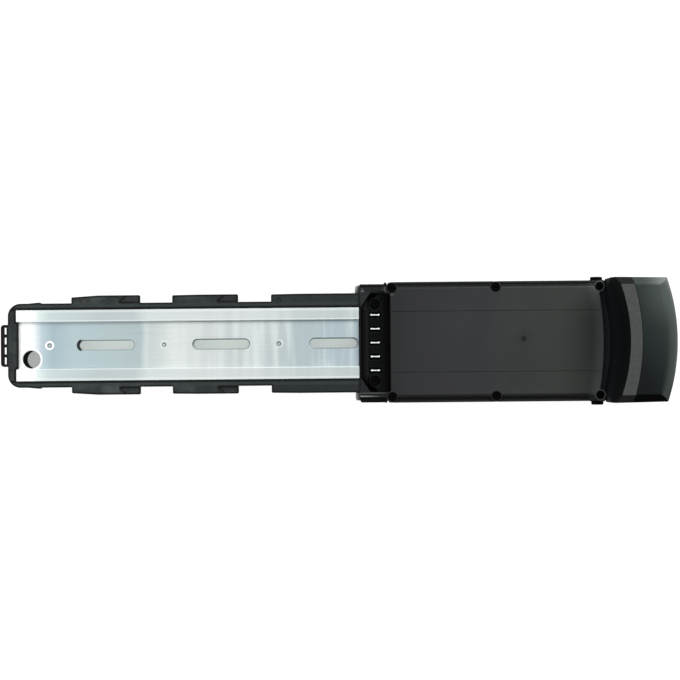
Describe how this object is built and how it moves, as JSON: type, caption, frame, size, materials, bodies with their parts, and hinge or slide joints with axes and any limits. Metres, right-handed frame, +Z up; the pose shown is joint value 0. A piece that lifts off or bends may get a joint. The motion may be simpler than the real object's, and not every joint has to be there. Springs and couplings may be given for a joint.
{
  "type": "battery dock",
  "caption": "Rear-rack battery dock: winged plastic tray with an aluminium rail plate, blade contacts, a controller box and an end hood.",
  "frame": {"origin": "middle of the base, under the middle of the dock's length and width", "axes": "+X from the tray's lift loop to the hood, +Y across the dock, +Z up out of the tray"},
  "size_m": [0.5, 0.0964, 0.074],
  "materials": {
    "tray_plastic": "moulded satin dark grey",
    "shell_plastic": "moulded satin near black",
    "cover_plastic": "smooth satin grey",
    "connector_plastic": "smooth near black",
    "hood_strip": "fine matte grain",
    "hood_gloss": "glossy near black",
    "rail_aluminium": "brushed lengthwise",
    "strike_steel": "scratched zinc plate",
    "zinc_steel": "zinc plated",
    "black_steel": "black oxide",
    "blade_plating": "bright tin plate",
    "insert_brass": "turned",
    "seal_rubber": "matte",
    "buffer_rubber": "matte pale grey",
    "spreader_aluminium": "milled",
    "board_laminate": "green lacquer",
    "part_epoxy": "moulded epoxy",
    "capacitor_sleeve": "printed sleeve without print",
    "header_nylon": "natural nylon",
    "lead_black": "soft insulation",
    "lead_red": "soft insulation",
    "lead_grey": "soft insulation"
  },
  "bodies": {
    "root": {"rail_tray": "tray_plastic", "rail_plate": "rail_aluminium", "rail_screws": "zinc_steel", "lock_strike_plate": "strike_steel", "strike_screws": "zinc_steel", "tray_screws": "zinc_steel", "lower_shell": "shell_plastic", "top_cover": "cover_plastic", "cover_gasket": "seal_rubber", "cover_screws": "black_steel", "cover_inserts": "insert_brass", "connector_block": "connector_plastic", "connector_gasket": "seal_rubber", "connector_screws": "black_steel", "side_screws": "black_steel", "side_washers": "black_steel", "side_inserts": "insert_brass", "front_buffers": "buffer_rubber", "heat_spreader": "spreader_aluminium", "controller_board": "board_laminate", "board_screws": "zinc_steel", "power_transistors": "part_epoxy", "smoothing_capacitors": "capacitor_sleeve", "signal_header": "header_nylon", "negative_lead": "lead_black", "positive_lead": "lead_red", "signal_leads": "lead_grey", "hood_frame": "hood_strip", "hood_dome": "hood_gloss", "hood_screws": "zinc_steel", "cable_grommet": "seal_rubber", "contact_blade_1": "blade_plating", "contact_blade_2": "blade_plating", "contact_blade_3": "blade_plating", "contact_blade_4": "blade_plating", "contact_blade_5": "blade_plating"}
  },
  "joints": []
}
